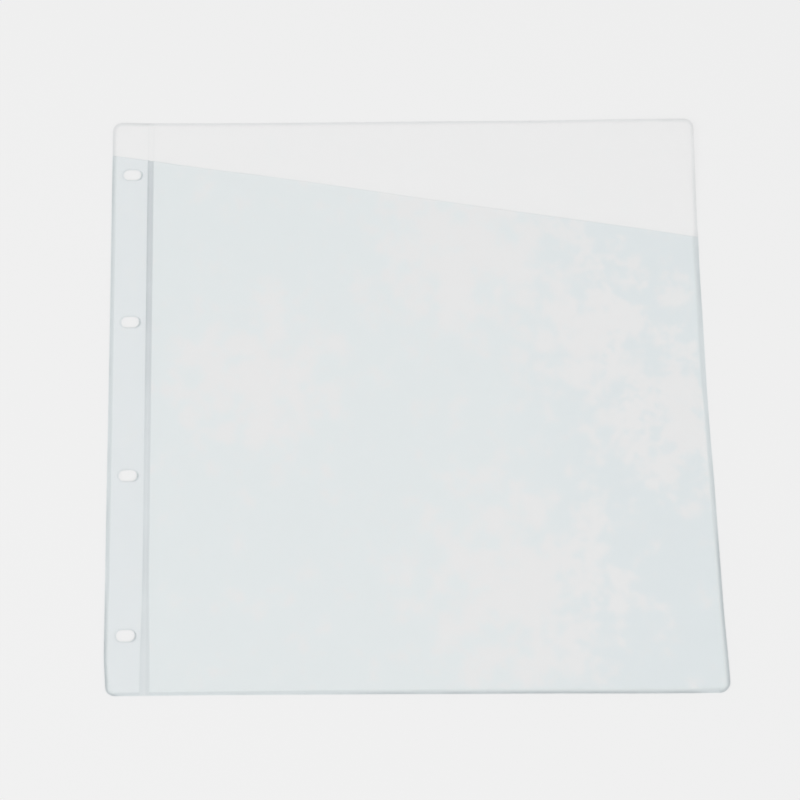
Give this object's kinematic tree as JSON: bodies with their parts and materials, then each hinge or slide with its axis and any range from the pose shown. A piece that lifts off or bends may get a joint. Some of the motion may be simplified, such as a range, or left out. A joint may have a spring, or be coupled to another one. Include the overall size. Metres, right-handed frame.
{
  "type": "sheet protector",
  "caption": "Clear square sheet protector of welded film, with a slanted top mouth, a slotted binding strip and a spine weld on which the page turns.",
  "frame": {"origin": "middle of the sheet, on the back of the back film", "axes": "+X from the binding edge to the side edge, +Y from the bottom edge to the open top, +Z out of the front film"},
  "size_m": [0.3, 0.3, 0.0008],
  "materials": {
    "clear_film": "clear gloss",
    "weld": "clear gloss"
  },
  "bodies": {
    "binding_strip": {"strip_back_film": "clear_film", "strip_front_film": "clear_film", "binding_edge_seam": "weld", "strip_bottom_seam": "weld", "spine_seam": "weld"},
    "pocket_page": {"pocket_back_film": "clear_film", "pocket_front_film": "clear_film", "pocket_bottom_seam": "weld", "side_seam": "weld"}
  },
  "joints": [
    {"name": "page_turn", "type": "hinge", "parent": "binding_strip", "child": "pocket_page", "pos_m": [-0.1304, 0, 0.001], "axis": [0, -1, 0], "range_deg": [0, 180], "deforming": ["spine_seam"]}
  ]
}
